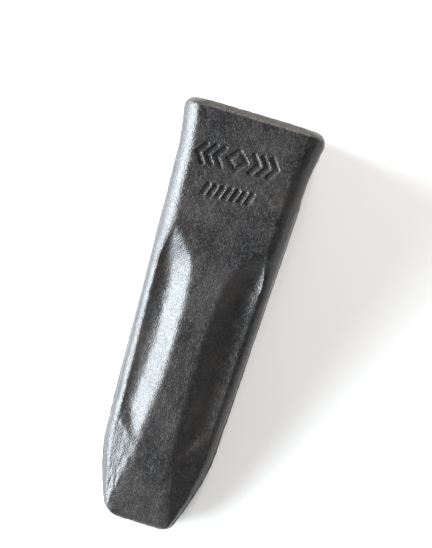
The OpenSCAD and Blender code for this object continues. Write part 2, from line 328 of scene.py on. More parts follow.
class ToothForm:
    """Cross-sections of the casting. A place along it is its distance s from the rear rim."""

    RIB_STEPS = 9
    FLUTE_STEPS = 24
    ARC_STEPS = 8
    SIDE_STEPS = 9
    RING_STEP = 1.35 * MM
    CURVE_POWER = 1.5
    # The flutes' slopes at their rear and front ends, and how the arch and the outer ridge are drawn.
    FLUTE_RAMP = 0.45
    FLUTE_END = 0.34
    ARCH_POWER = 1.6
    RIDGE_POWER = 5
    FLUTE_EXTRA = 2 * MM
    FACET_STEP = 3
    # Where the rib narrows from its root, where it widens to the tip and where it drifts.
    RIB_ROOT_END = 90 * MM
    RIB_ROOT_LENGTH = 54 * MM
    RIB_TIP_LENGTH = 100 * MM
    DRIFT_FROM = 200 * MM
    DRIFT_LENGTH = 110 * MM
    # A long edge is rounded at 2 and chamfered at 1.
    LONG_BLUNTNESS = 1.6
    SIDE_DRAFT = 1.5 * MM
    PARTING_RIDGE = 0.45 * MM
    RIB_ROOT_MORE = 4 * MM
    EDGE_ROUND = 4 * MM
    TIP_CORNERS = {1: 5 * MM, -1: 11 * MM}
    MOUTH_ROUND = 3 * MM
    FLOOR_ROUND = 7 * MM
    # The rim's edge is rounded at 2 and chamfered at 1.
    RIM_BLUNTNESS = 1.3
    CREASE = 2.4 * MM
    HOLLOW = 5 * MM

    def __init__(self, sizes):
        self.z = sizes
        self.bevel_start = sizes.length - sizes.bevel_length
        self.curve_start = sizes.length - sizes.curve_length
        self.runout_start = sizes.length - sizes.flute_runout
        self.land_start = SOCKET_DEPTH - sizes.socket_land
        self.mouth_half = (sizes.box_width / 2 - sizes.side_wall, sizes.rim_height / 2 - sizes.top_wall)
        self.floor_half = (
            self.straight_half(SOCKET_DEPTH) - sizes.side_floor_wall,
            self.half_height(SOCKET_DEPTH) - sizes.flute_depth - sizes.flute_floor_wall,
        )
        drop = (sizes.tip_height - sizes.edge_thickness) / 2
        spread = (sizes.edge_width - sizes.rib_tip_width) / 2
        back = (self.bevel_start - self.runout_start) / sizes.bevel_length
        low = self.half_height(self.runout_start) - sizes.flute_depth
        across = self.half_width(self.runout_start) - sizes.rib_tip_width / 2
        self.facet_fall = (sizes.tip_height / 2 - low + back * drop) / (across + back * spread)
        self.facet_along = (drop - self.facet_fall * spread) / sizes.bevel_length

    def straight_half(self, s):
        return mix(self.z.box_width, self.z.tip_width, s / self.curve_start) / 2

    def half_width(self, s):
        if s < self.curve_start:
            flare = self.z.rim_flare * max(0.0, 1 - s / self.z.flare_length) ** self.CURVE_POWER
            return self.straight_half(s) + flare
        turn = ((s - self.curve_start) / self.z.curve_length) ** self.CURVE_POWER
        return mix(self.z.tip_width, self.z.edge_width, turn) / 2

    def plan_corner(self, s, side):
        """How much the rounded corners take off the half-width, at the rim and at the cutting edge."""
        corner = self.TIP_CORNERS[side]
        near_rim = max(0.0, 1 - s / self.z.rim_corner)
        near_edge = max(0.0, 1 - (self.z.length - s) / corner)
        rim = self.z.rim_corner * (1 - math.sqrt(1 - min(near_rim, 1.0) ** 2))
        return rim + corner * (1 - math.sqrt(1 - min(near_edge, 1.0) ** 2))

    def half_height(self, s):
        if s < self.bevel_start:
            return mix(self.z.rim_height, self.z.tip_height, s / self.bevel_start) / 2
        along = (s - self.bevel_start) / self.z.bevel_length
        return mix(self.z.tip_height, self.z.edge_thickness, along) / 2

    def long_radius(self, s):
        to_ridge = ease((s - self.z.flute_start) / self.z.flute_arch)
        to_tip = ease((s - self.bevel_start) / self.z.bevel_length)
        return mix(self.z.long_edge_radius, self.z.ridge_radius, to_ridge) - to_tip * (
            self.z.ridge_radius - self.z.tip_radius
        )

    def rib_half(self, s, side):
        """Half-width of the rib's flat top, with side +1 or -1 for the side that it is measured to."""
        root = unit((self.z.flute_start + self.RIB_ROOT_END - s) / self.RIB_ROOT_LENGTH)
        tip = unit((s - self.bevel_start) / self.RIB_TIP_LENGTH + 1)
        facet = max(0.0, s - self.bevel_start) / self.z.bevel_length
        drift = self.z.rib_drift * ease((s - self.DRIFT_FROM) / self.DRIFT_LENGTH) * (1 - 0.7 * facet)
        return (
            self.z.rib_width / 2
            + self.RIB_ROOT_MORE * root**2
            + (self.z.rib_tip_width - self.z.rib_width) / 2 * tip**2
            + (self.z.edge_width - self.z.rib_tip_width) / 2 * facet
            - side * drift
        )

    def flute(self, s, y, rib):
        """Depth of a flute at one place: the least of its slopes and its full depth."""
        z = self.z
        width = self.half_width(s)
        inward = unit((width - y) / (width - z.rib_width / 2))
        start = (s - z.flute_start - z.flute_arch * inward**self.ARCH_POWER) * self.FLUTE_RAMP
        if start < -self.HOLLOW:
            return 0.0
        inner = (y - rib) / z.rib_slope * z.flute_depth
        line = width - self.long_radius(s)
        fall = unit((s - z.flute_start) / (self.runout_start - z.flute_start))
        drop = z.flute_depth * (1 - (1 - fall) ** self.RIDGE_POWER)
        deep = z.flute_depth + self.FLUTE_EXTRA
        low_line = rib + z.rib_slope
        outer = mix(drop, deep, (line - y) / max(line - low_line, 2 * MM))
        floor = soft_min(deep, start, self.HOLLOW)
        walls = soft_min(inner, outer, self.HOLLOW)
        return soft_max(0.0, soft_min(floor, walls, self.HOLLOW), self.CREASE)

    def top(self, s, y, rib):
        """Half-height at one place: the face, less the flute, which ends on a line across the facet."""
        face = self.half_height(s)
        facet = (
            self.z.tip_height / 2
            - self.facet_along * (s - self.bevel_start)
            - self.facet_fall * (y - self.z.rib_tip_width / 2 - (rib - self.rib_half(s, 0)))
        )
        width = self.half_width(self.runout_start)
        inward = unit((width - y) / (width - self.z.rib_tip_width / 2))
        behind = max(0.0, mix(self.runout_start, self.bevel_start, inward) - s)
        deepest = max(0.0, face - facet + self.FLUTE_END * behind)
        depth = max(0.0, soft_min(self.flute(s, y, rib), deepest, self.CREASE))
        before = self.FACET_STEP * max(0.0, self.runout_start - s)
        return soft_min(face - depth, facet + before, self.CREASE)

    def outer_quarter(self, s, inset, side):
        """From the middle of the top to the middle of one side."""
        width = self.half_width(s) - max(inset, self.plan_corner(s, side))
        radius = self.long_radius(s)
        line = width - radius
        rib = min(self.rib_half(s, side), line - 3 * MM)
        across = [rib * i / self.RIB_STEPS for i in range(self.RIB_STEPS)]
        across += [mix(rib, line, i / self.FLUTE_STEPS) for i in range(self.FLUTE_STEPS)]
        points = [(y, self.top(s, y, self.rib_half(s, side)) - inset) for y in across]
        edge = self.top(s, line, self.rib_half(s, side)) - inset
        low = max(edge - radius, 0.6 * MM)
        blunt = 2 / self.LONG_BLUNTNESS
        for i in range(self.ARC_STEPS):
            turn = math.pi / 2 * i / self.ARC_STEPS
            out = (radius - self.SIDE_DRAFT) * math.sin(turn) ** blunt
            points.append((line + out, mix(low, edge, math.cos(turn) ** blunt)))
        for i in range(self.SIDE_STEPS):
            down = 1 - (1 - i / self.SIDE_STEPS) ** 1.8
            points.append((width - self.SIDE_DRAFT * (1 - down), low * (1 - down)))
        ridge = self.PARTING_RIDGE * ease((s - 0.012) / 0.02)
        points.append((width + ridge, 0.0))
        return points

    def round_quarter(self, half_w, half_h, radius):
        """One quarter of a rounded rectangle, with as many points as an outer quarter."""
        flat = self.RIB_STEPS + self.FLUTE_STEPS
        points = [((half_w - radius) * i / flat, half_h) for i in range(flat)]
        for i in range(self.ARC_STEPS):
            turn = math.pi / 2 * i / self.ARC_STEPS
            out, up = radius * math.sin(turn), radius * math.cos(turn)
            points.append((half_w - radius + out, half_h - radius + up))
        side = range(self.SIDE_STEPS + 1)
        points += [(half_w, (half_h - radius) * (1 - i / self.SIDE_STEPS)) for i in side]
        return points

    @staticmethod
    def ring(s, right, left):
        """A closed ring of points at s, from the quarters on the +Y and the -Y side."""
        top_right = right
        low_right = [(y, -z) for y, z in reversed(right[:-1])]
        low_left = [(-y, -z) for y, z in left[1:]]
        top_left = [(-y, z) for y, z in reversed(left[1:-1])]
        return [Vector((s - PIN_BACK, y, z)) for y, z in top_right + low_right + low_left + top_left]

    def outer_ring(self, s, inset=0.0):
        return self.ring(s, self.outer_quarter(s, inset, 1), self.outer_quarter(s, inset, -1))

    def socket_ring(self, s, grow=0.0):
        along = min(1.0, max(s, 0.0) / self.land_start)
        half_w = mix(self.mouth_half[0], self.floor_half[0], along) + grow
        half_h = mix(self.mouth_half[1], self.floor_half[1], along) + grow
        quarter = self.round_quarter(half_w, half_h, self.z.socket_radius + grow)
        return self.ring(s, quarter, quarter)

    def skin_rings(self):
        """Rings over the whole skin: cutting edge, outside, rim, socket and socket floor."""
        end = self.z.length
        turns = [math.pi / 2 * i / 6 for i in range(7)]
        edge = self.outer_ring(end, self.EDGE_ROUND)
        middle = Vector((end - PIN_BACK, 0.0, 0.0))
        rings = [[middle.lerp(point, share) for point in edge] for share in (0.0, 0.3, 0.6, 0.85)]
        rings += [
            self.outer_ring(end - self.EDGE_ROUND * (1 - math.cos(a)), self.EDGE_ROUND * (1 - math.sin(a)))
            for a in turns
        ]
        first, last = end - self.EDGE_ROUND, self.z.rim_radius
        steps = round((first - last) / self.RING_STEP)
        rings += [self.outer_ring(mix(first, last, i / steps)) for i in range(1, steps)]
        rim = self.z.rim_radius
        blunt = 2 / self.RIM_BLUNTNESS
        rings += [
            self.outer_ring(rim * (1 - math.sin(a) ** blunt), rim * (1 - max(math.cos(a), 0.0) ** blunt))
            for a in turns
        ]
        mouth = self.MOUTH_ROUND
        inner = [self.socket_ring(mouth * (1 - math.cos(a)), mouth * (1 - math.sin(a))) for a in turns]
        outside = rings[-1]
        rings += [[a.lerp(b, share) for a, b in zip(outside, inner[0])] for share in (0.25, 0.5, 0.75)]
        rings += inner
        rings += [self.socket_ring(mix(mouth, self.land_start, i / 26)) for i in range(1, 27)]
        floor = self.FLOOR_ROUND
        flat = SOCKET_DEPTH - floor
        rings += [self.socket_ring(mix(self.land_start, flat, i / 5)) for i in range(1, 5)]
        rings += [self.socket_ring(flat + floor * math.sin(a), -floor * (1 - math.cos(a))) for a in turns]
        centre = Vector((SOCKET_DEPTH - PIN_BACK, 0.0, 0.0))
        bottom = rings[-1]
        rings += [[centre.lerp(point, share) for point in bottom] for share in (0.75, 0.5, 0.25, 0.0)]
        return rings


def skin_mesh(rings):
    """A closed skin: a grid, rolled up into a tube that passes through the rings."""
    around = len(rings[0])
    bm = bmesh.new()
    bmesh.ops.create_grid(bm, x_segments=len(rings) - 1, y_segments=around, size=1.0)
    for vert in bm.verts:
        row = round((vert.co.x + 1) / 2 * (len(rings) - 1))
        column = round((vert.co.y + 1) / 2 * around) % around
        vert.co = rings[row][column]
    bmesh.ops.remove_doubles(bm, verts=bm.verts, dist=0.004 * MM)
    bmesh.ops.recalc_face_normals(bm, faces=bm.faces)
    return bm


# Unevenness of the cast skin, in waves per metre.
SLOW_WAVES = 24
QUICK_WAVES = 150
WRINKLES_ALONG = 70
WRINKLES_ACROSS = 260
WRINKLES_FROM = 0.19
WRINKLE_DEPTH = 0.35 * MM


def uneven(bm, swell, ripple):
    """Sinks the skin by slow and quick waves, and by wrinkles near the tip. It never stands proud."""
    bm.normal_update()
    moves = []
    for vert in bm.verts:
        slow = noise.fractal(vert.co * SLOW_WAVES, 1.0, 2.0, 2)
        quick = noise.fractal(vert.co * QUICK_WAVES + Vector((7.0, 3.0, 1.0)), 1.0, 2.1, 3)
        forward = ease((vert.co.x - WRINKLES_FROM) / 0.1)
        stretched = Vector((WRINKLES_ALONG, WRINKLES_ACROSS, WRINKLES_ACROSS)) * vert.co
        drawn = noise.fractal(stretched, 1.0, 2.0, 2)
        depth = swell * unit(0.5 + slow) + ripple * unit(0.5 + quick)
        depth += WRINKLE_DEPTH * forward * unit(0.4 + drawn)
        moves.append(vert.normal * -depth)
    for vert, move in zip(bm.verts, moves):
        vert.co += move


def turned(profile, steps, angle=math.tau):
    """A solid of revolution about Y. The profile is a closed or axis-to-axis chain of (radius, y)."""
    bm = bmesh.new()
    verts = [bm.verts.new((radius, y, 0.0)) for radius, y in profile]
    chain = [bm.edges.new(pair) for pair in zip(verts, verts[1:])]
    if profile[0][0] > 0:
        chain.append(bm.edges.new((verts[-1], verts[0])))
    whole = angle == math.tau
    geometry = verts + chain
    bmesh.ops.spin(
        bm, geom=geometry, cent=(0, 0, 0), axis=(0, 1, 0), dvec=(0, 0, 0),
        angle=angle, steps=steps, use_merge=whole, use_duplicate=False,
    )
    bmesh.ops.remove_doubles(bm, verts=bm.verts, dist=0.003 * MM)
    if not whole:
        bmesh.ops.holes_fill(bm, edges=[edge for edge in bm.edges if edge.is_boundary], sides=0)
    bmesh.ops.recalc_face_normals(bm, faces=bm.faces)
    return bm


def rounded(corners, radius, steps=4):
    """A chain of (radius, y) points with every corner rounded by the same small radius."""
    points = []
    count = len(corners)
    for i, corner in enumerate(corners):
        here = Vector(corner)
        before = (Vector(corners[i - 1]) - here).normalized()
        after = (Vector(corners[(i + 1) % count]) - here).normalized()
        start, end = here + before * radius, here + after * radius
        for k in range(steps + 1):
            t = k / steps
            points.append(tuple(start * (1 - t) ** 2 + here * 2 * t * (1 - t) + end * t**2))
    return points


def shade(bm, limit=math.radians(32)):
    for face in bm.faces:
        face.smooth = True
    for edge in bm.edges:
        edge.smooth = len(edge.link_faces) == 2 and edge.calc_face_angle(0.0) < limit


def note_edges(bm):
    """Stores how far each point stands out from its neighbours, for wear on edges and dust in corners."""
    layer = bm.verts.layers.float.new("edge")
    bm.normal_update()
    for vert in bm.verts:
        total = 0.0
        for edge in vert.link_edges:
            away = edge.other_vert(vert).co - vert.co
            total += vert.normal.dot(away) / max(away.length, 1e-6)
        vert[layer] = unit(0.5 - 1.6 * total / max(len(vert.link_edges), 1))
    for _ in range(2):
        smooth = [sum(e.other_vert(v)[layer] for e in v.link_edges) / len(v.link_edges) for v in bm.verts]
        for vert, value in zip(bm.verts, smooth):
            vert[layer] = mix(vert[layer], value, 0.6)


def note_socket(bm, form):
    """Stores which points of the casting lie in its socket."""
    layer = bm.verts.layers.float.new("socket")
    for vert in bm.verts:
        s = vert.co.x + PIN_BACK
        along = min(1.0, max(s, 0.0) / form.land_start)
        half_w = mix(form.mouth_half[0], form.floor_half[0], along) + 6 * MM
        half_h = mix(form.mouth_half[1], form.floor_half[1], along) + 2 * MM
        within = s < SOCKET_DEPTH + 2 * MM and abs(vert.co.y) < half_w and abs(vert.co.z) < half_h
        vert[layer] = ease((s - 1 * MM) / (8 * MM)) if within else 0.0


def add_piece(name, bm, material, body, node):
    """Makes an object of a finished shape, in the place of a node of the frame, with its material."""
    shade(bm)
    note_edges(bm)
    mesh = bpy.data.meshes.new(name)
    bm.to_mesh(mesh)
    bm.free()
    piece = bpy.data.objects.new(name, mesh)
    piece.data.materials.append(material)
    bpy.context.scene.collection.objects.link(piece)
    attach(piece, body)
    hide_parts(node)


def subtract(bm, cutters):
    """Cuts closed shapes out of another with an exact boolean, and returns the rest."""
    scene = bpy.context.scene
    made = []

    def stand_in(shape):
        mesh = bpy.data.meshes.new("cut")
        shape.to_mesh(mesh)
        shape.free()
        item = bpy.data.objects.new("cut", mesh)
        scene.collection.objects.link(item)
        made.append(item)
        return item

    target = stand_in(bm)
    for cutter in cutters:
        cut = target.modifiers.new("cut", "BOOLEAN")
        cut.operation = "DIFFERENCE"
        cut.solver = "EXACT"
        cut.object = stand_in(cutter)
    ready = target.evaluated_get(bpy.context.evaluated_depsgraph_get())
    rest = bmesh.new()
    rest.from_mesh(ready.to_mesh())
    ready.to_mesh_clear()
    for item in made:
        mesh = item.data
        bpy.data.objects.remove(item)
        bpy.data.meshes.remove(mesh)
    bmesh.ops.remove_doubles(rest, verts=rest.verts, dist=0.01 * MM)
    return rest


# Marks and cuts in the casting


# The two rows of the cast pattern: distance from the rim, sideways shift, slant and stroke.
ROW = 43 * MM
SMALL_ROW = 72 * MM
MARK_SHIFT = -5 * MM
MARK_SLANT = 0.055
HALF_STROKE = 1.4 * MM
STROKE_WALL = 1.2 * MM
BARS = 7


def marks():
    """The cast pattern as strokes (s, y) to (s, y): a lozenge between chevrons, and a row of short bars."""
    row, small_row = ROW, SMALL_ROW
    reach = 8 * MM
    strokes = []
    corners = [(row - reach, 0.0), (row, reach), (row + reach, 0.0), (row, -reach)]
    strokes += [(corners[i - 1], corners[i]) for i in range(4)]
    for way in (1, -1):
        for across in (12.5, 20.5, 28.5):
            tail, nose = way * across * MM, way * (across * MM + 6 * MM)
            strokes += [((row + up * reach, tail), (row, nose)) for up in (1, -1)]
    for i in range(BARS):
        y = (i - (BARS - 1) / 2) * 6.4 * MM
        strokes.append(((small_row - 4.2 * MM, y + 1.5 * MM), (small_row + 4.2 * MM, y - 1.5 * MM)))
    return [tuple((s - MARK_SLANT * y, y + MARK_SHIFT) for s, y in stroke) for stroke in strokes]


def off_stroke(s, y, stroke):
    """Distance from a place on the face to a stroke's middle line."""
    (s0, y0), (s1, y1) = stroke
    along_s, along_y = s1 - s0, y1 - y0
    t = unit(((s - s0) * along_s + (y - y0) * along_y) / (along_s**2 + along_y**2))
    return math.hypot(s - s0 - t * along_s, y - y0 - t * along_y)


def sink_marks(bm, form):
    """Refines the skin around the marks, and sinks them in it with the soft walls of a casting."""
    strokes = marks()
    low_s, high_s, wide = ROW - 12 * MM, SMALL_ROW + 8 * MM, 43 * MM

    def on_face(vert):
        s = vert.co.x + PIN_BACK
        return low_s < s < high_s and abs(vert.co.y) < wide and vert.co.z > 0.8 * form.half_height(s)

    area = {face for face in bm.faces if all(on_face(vert) for vert in face.verts)}
    lines = list({edge for face in area for edge in face.edges})
    bmesh.ops.subdivide_edges(bm, edges=lines, cuts=2, use_grid_fill=True)
    for vert in [vert for vert in bm.verts if on_face(vert)]:
        s, y = vert.co.x + PIN_BACK, vert.co.y
        away = min(off_stroke(s, y, stroke) for stroke in strokes)
        vert.co.z -= form.z.mark_depth * ease((HALF_STROKE + STROKE_WALL - away) / STROKE_WALL)


def cylinder(radius, low, high, steps=96):
    """A closed cylinder about Y."""
    return turned([(0.0, low), (radius, low), (radius, high), (0.0, high)], steps)


def hole_cutters(form):
    """The through hole with its softened edges, the two spot faces and the retainer's channel."""
    z = form.z
    hole = PIN_RADIUS + z.hole_clearance
    spot = hole + z.spot_rim
    face = form.straight_half(PIN_BACK) - z.spot_depth
    far = z.box_width
    soft = 1 * MM
    profile = [(0.0, -far), (spot, -far), (spot, -face), (hole + soft, -face), (hole, -face + soft)]
    profile += [(radius, -y) for radius, y in reversed(profile)]
    cutters = [turned(profile, 96)]
    along = PIN_BACK / form.land_start
    wall = mix(form.mouth_half[0], form.floor_half[0], along) + z.channel_depth
    bush_low, bush_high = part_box("retainer_bush")
    seat = (bush_high[0] - bush_low[0]) / 2 + z.channel_clearance
    cutters.append(cylinder(seat, -wall, 0.0))
    slot = bmesh.new()
    bmesh.ops.create_cube(slot, size=1.0)
    long = PIN_BACK + 20 * MM
    bmesh.ops.scale(slot, vec=(long, wall, 2 * seat), verts=slot.verts)
    bmesh.ops.translate(slot, vec=(-long / 2, -wall / 2, 0.0), verts=slot.verts)
    cutters.append(slot)
    return cutters


# Materials


class NodeBook:
    """Adds nodes to one tree, from left to right, and links their sockets."""

    def __init__(self, tree):
        self.tree = tree
        self.column = 0

    def add(self, kind, inputs=None, **settings):
        node = self.tree.nodes.new(kind)
        node.location = (self.column * 190, 0)
        self.column += 1
        for key, value in settings.items():
            setattr(node, key, value)
        for key, value in (inputs or {}).items():
            if isinstance(value, bpy.types.NodeSocket):
                self.tree.links.new(value, node.inputs[key])
            else:
                node.inputs[key].default_value = value
        return node

    def math(self, operation, a, b=0.0, c=0.0):
        clamp = operation in {"MULTIPLY_ADD", "ADD", "SUBTRACT", "MULTIPLY"}
        node = self.add("ShaderNodeMath", {0: a, 1: b, 2: c}, operation=operation, use_clamp=clamp)
        return node.outputs[0]

    def plain(self, operation, a, b=0.0):
        """Maths without a clamp."""
        return self.add("ShaderNodeMath", {0: a, 1: b}, operation=operation).outputs[0]

    def spread(self, value, low, high, to_low=0.0, to_high=1.0):
        """Stretches a value's range, with soft ends."""
        ranges = {"Value": value, "From Min": low, "From Max": high, "To Min": to_low, "To Max": to_high}
        return self.add("ShaderNodeMapRange", ranges, interpolation_type="SMOOTHSTEP").outputs[0]

    def mix(self, share, a, b):
        node = self.add("ShaderNodeMix", data_type="RGBA", clamp_factor=True)
        for socket, value in zip((node.inputs[0], node.inputs[6], node.inputs[7]), (share, a, b)):
            if isinstance(value, bpy.types.NodeSocket):
                self.tree.links.new(value, socket)
            else:
                socket.default_value = value
        return node.outputs[2]

    def noise(self, vector, scale, detail=3.0, roughness=0.5):
        values = {"Vector": vector, "Scale": scale, "Detail": detail, "Roughness": roughness}
        return self.add("ShaderNodeTexNoise", values).outputs["Fac"]

    def cells(self, vector, scale):
        return self.add("ShaderNodeTexVoronoi", {"Vector": vector, "Scale": scale}, feature="F1").outputs


def node_group(name, inputs, outputs):
    """A shader node group with named sockets, and the book that fills it."""
    group = bpy.data.node_groups.new(name, "ShaderNodeTree")
    for label, kind, value in inputs:
        socket = group.interface.new_socket(name=label, in_out="INPUT", socket_type=kind)
        if value is not None:
            socket.default_value = value
    for label, kind in outputs:
        group.interface.new_socket(name=label, in_out="OUTPUT", socket_type=kind)
    book = NodeBook(group)
    source = book.add("NodeGroupInput")
    return group, book, source.outputs


def close_group(book, values):
    book.add("NodeGroupOutput", values)


def cast_grain():
    """Sand-cast skin: a height, large cloudy patches and small specks."""
    name = "cast_grain"
    if name in bpy.data.node_groups:
        return bpy.data.node_groups[name]
    group, book, given = node_group(
        name,
        [
            ("Vector", "NodeSocketVector", None),
            ("Grains per metre", "NodeSocketFloat", 900.0),
            ("Patches per metre", "NodeSocketFloat", 22.0),
            ("Pits", "NodeSocketFloat", 0.5),
        ],
        [("Height", "NodeSocketFloat"), ("Patch", "NodeSocketFloat"), ("Speck", "NodeSocketFloat")],
    )
    vector = given["Vector"]
    sand = book.noise(vector, given["Grains per metre"], 3.0, 0.6)
    grains = book.cells(vector, given["Grains per metre"])
    dome = book.spread(grains["Distance"], 0.75, 0.0)
    ripple = book.noise(vector, book.plain("MULTIPLY", given["Grains per metre"], 0.3), 2.0, 0.5)
    cells = book.cells(vector, book.plain("MULTIPLY", given["Grains per metre"], 0.22))["Distance"]
    pits = book.math("MULTIPLY", book.spread(cells, 0.22, 0.08), given["Pits"])
    rough = book.math("MULTIPLY_ADD", sand, 0.35, book.math("MULTIPLY", ripple, 0.3))
    rough = book.math("MULTIPLY_ADD", dome, 0.35, rough)
    height = book.math("SUBTRACT", rough, book.math("MULTIPLY", pits, 0.5))
    patch = book.spread(book.noise(vector, given["Patches per metre"], 4.0, 0.6), 0.36, 0.68)
    speck = book.spread(grains["Color"], 0.42, 0.8)
    close_group(book, {"Height": height, "Patch": patch, "Speck": speck})
    return group


def edge_wear():
    """Where paint or scale has rubbed off: on edges that stand out, broken up by noise."""
    name = "edge_wear"
    if name in bpy.data.node_groups:
        return bpy.data.node_groups[name]
    group, book, given = node_group(
        name,
        [
            ("Vector", "NodeSocketVector", None),
            ("Edge", "NodeSocketFloat", 0.5),
            ("Reach", "NodeSocketFloat", 0.62),
            ("Breakup per metre", "NodeSocketFloat", 160.0),
        ],
        [("Worn", "NodeSocketFloat"), ("Scuffed", "NodeSocketFloat")],
    )
    breakup = book.noise(given["Vector"], given["Breakup per metre"], 5.0, 0.65)
    lifted = book.math("MULTIPLY_ADD", breakup, 0.35, given["Edge"])
    start = given["Reach"]
    end = book.plain("ADD", start, 0.12)
    worn = book.spread(book.math("SUBTRACT", lifted, 0.175), start, end)
    streaks = book.add("ShaderNodeMapping", {
        "Vector": given["Vector"], "Rotation": (0.3, 0.1, 0.7), "Scale": (1.0, 9.0, 3.0),
    }).outputs[0]
    scuffed = book.spread(book.noise(streaks, 75.0, 4.0, 0.7), 0.62, 0.75)
    close_group(book, {"Worn": worn, "Scuffed": scuffed})
    return group


def settled_dust():
    """Dry dust in hollows and on surfaces that face up."""
    name = "settled_dust"
    if name in bpy.data.node_groups:
        return bpy.data.node_groups[name]
    group, book, given = node_group(
        name,
        [
            ("Vector", "NodeSocketVector", None),
            ("Edge", "NodeSocketFloat", 0.5),
            ("Facing up", "NodeSocketFloat", 0.3),
            ("In hollows", "NodeSocketFloat", 0.6),
        ],
        [("Dust", "NodeSocketFloat")],
    )
    normal = book.add("ShaderNodeNewGeometry").outputs["Normal"]
    up = book.add("ShaderNodeSeparateXYZ", {0: normal}).outputs["Z"]
    cloud = book.spread(book.noise(given["Vector"], 60.0, 5.0, 0.65), 0.35, 0.7)
    flat = book.math("MULTIPLY", book.spread(up, 0.5, 1.0), given["Facing up"])
    hollow = book.math("MULTIPLY", book.spread(given["Edge"], 0.46, 0.3), given["In hollows"])
    close_group(book, {"Dust": book.math("MULTIPLY", book.math("ADD", flat, hollow), cloud)})
    return group


def start_material(name):
    """A new material with its node book, shader, object coordinates and edge value."""
    material = bpy.data.materials.new(name)
    material.use_nodes = True
    tree = material.node_tree
    tree.nodes.clear()
    book = NodeBook(tree)
    vector = book.add("ShaderNodeTexCoord").outputs["Object"]
    edge = book.add("ShaderNodeAttribute", attribute_name="edge").outputs["Fac"]
    return material, book, vector, edge


def grouped(book, group, values):
    return book.add("ShaderNodeGroup", values, node_tree=group).outputs


def close_material(book, colour_value, roughness, height, distance, strength, **shader_values):
    bump = book.add("ShaderNodeBump", {"Height": height, "Distance": distance, "Strength": strength})
    values = {"Base Color": colour_value, "Roughness": roughness, "Normal": bump.outputs[0]}
    values.update({key.replace("_", " "): value for key, value in shader_values.items()})
    shader = book.add("ShaderNodeBsdfPrincipled", values)
    book.add("ShaderNodeOutputMaterial", {"Surface": shader.outputs[0]})


# How far the rim's lighter tone reaches from the rim, partly bare scale and partly a painted highlight on
# the rim's rounded edge, and colours in linear light.
RIM_TONE = 7.5 * MM
PALE_SPECK = (0.042, 0.038, 0.038, 1.0)
WORN_PAINT = (0.06, 0.058, 0.056, 1.0)
RUBBER_BLOOM = (0.045, 0.044, 0.043, 1.0)
PIN_OXIDE = (0.16, 0.145, 0.13, 1.0)
RING_OXIDE = (0.05, 0.045, 0.045, 1.0)
BARE_STEEL = (0.62, 0.62, 0.62, 1.0)


def black_paint(colours):
    """Satin black paint, sprayed thinly over the sand-cast skin."""
    material, book, vector, edge = start_material("black_paint_on_casting")
    grain = grouped(book, cast_grain(), {
        "Vector": vector, "Grains per metre": 760.0, "Patches per metre": 16.0, "Pits": 0.35,
    })
    wear = grouped(book, edge_wear(), {"Vector": vector, "Edge": edge, "Reach": 0.66})
    dust = grouped(book, settled_dust(), {
        "Vector": vector, "Edge": edge, "Facing up": 0.10, "In hollows": 0.30,
    })["Dust"]
    along = book.add(
        "ShaderNodeVectorMath", {0: vector, 1: tuple(-OUT_OF_MOUTH)}, operation="DOT_PRODUCT"
    ).outputs["Value"]
    # The rim band takes the scale colour: partly bare scale, partly a painted highlight where the rim's
    # rounded edge catches the light.
    rim = book.spread(along, RIM_TONE - PIN_BACK, RIM_TONE * 0.6 - PIN_BACK)
    inside = book.add("ShaderNodeAttribute", attribute_name="socket").outputs["Fac"]
    thin_paint_and_rim_highlight = book.math("MULTIPLY_ADD", inside, 0.7, book.math("MULTIPLY", rim, 0.75))
    outside = book.mix(book.math("MULTIPLY", grain["Patch"], 0.65), colours.paint, colours.bloom)
    specked = book.mix(book.math("MULTIPLY", grain["Speck"], 0.42), outside, PALE_SPECK)
    painted = book.mix(thin_paint_and_rim_highlight, specked, colours.scale)
    rubbed = book.mix(book.math("MULTIPLY", wear["Worn"], 0.35), painted, WORN_PAINT)
    dusty = book.mix(dust, rubbed, colours.dust)
    roughness = 0.29
    for mask, more in ((grain["Speck"], 0.12), (grain["Patch"], 0.08), (wear["Scuffed"], 0.08), (dust, 0.3)):
        roughness = book.math("MULTIPLY_ADD", mask, more, roughness)
    close_material(book, dusty, roughness, grain["Height"], 0.00042, 1.0, Specular_IOR_Level=0.5)
    return material


def turned_steel(name, base, dark):
    """Bright steel with the fine rings that a lathe leaves, and a little dark oxide."""
    material, book, vector, edge = start_material(name)
    across = book.add("ShaderNodeSeparateXYZ", {0: vector})
    squared = [book.plain("MULTIPLY", across.outputs[k], across.outputs[k]) for k in ("X", "Z")]
    radius = book.plain("SQRT", book.plain("ADD", *squared))
    rings = book.add("ShaderNodeCombineXYZ", {"X": radius, "Y": across.outputs["Y"]}).outputs[0]
    lathe = book.noise(rings, 2600.0, 2.0, 0.6)
    stain = book.spread(book.noise(vector, 70.0, 5.0, 0.65), 0.48, 0.72)
    wear = grouped(book, edge_wear(), {
        "Vector": vector, "Edge": edge, "Reach": 0.6, "Breakup per metre": 300.0,
    })
    oxide = book.math("MULTIPLY", stain, 0.55)
    metal = book.mix(oxide, base, dark)
    bright = book.mix(book.math("MULTIPLY", wear["Worn"], 0.6), metal, BARE_STEEL)
    rough = book.math("MULTIPLY_ADD", lathe, 0.16, 0.22)
    rough = book.math("MULTIPLY_ADD", oxide, 0.3, rough)
    close_material(book, bright, rough, lathe, 0.00012, 0.5, Metallic=1.0)
    return material


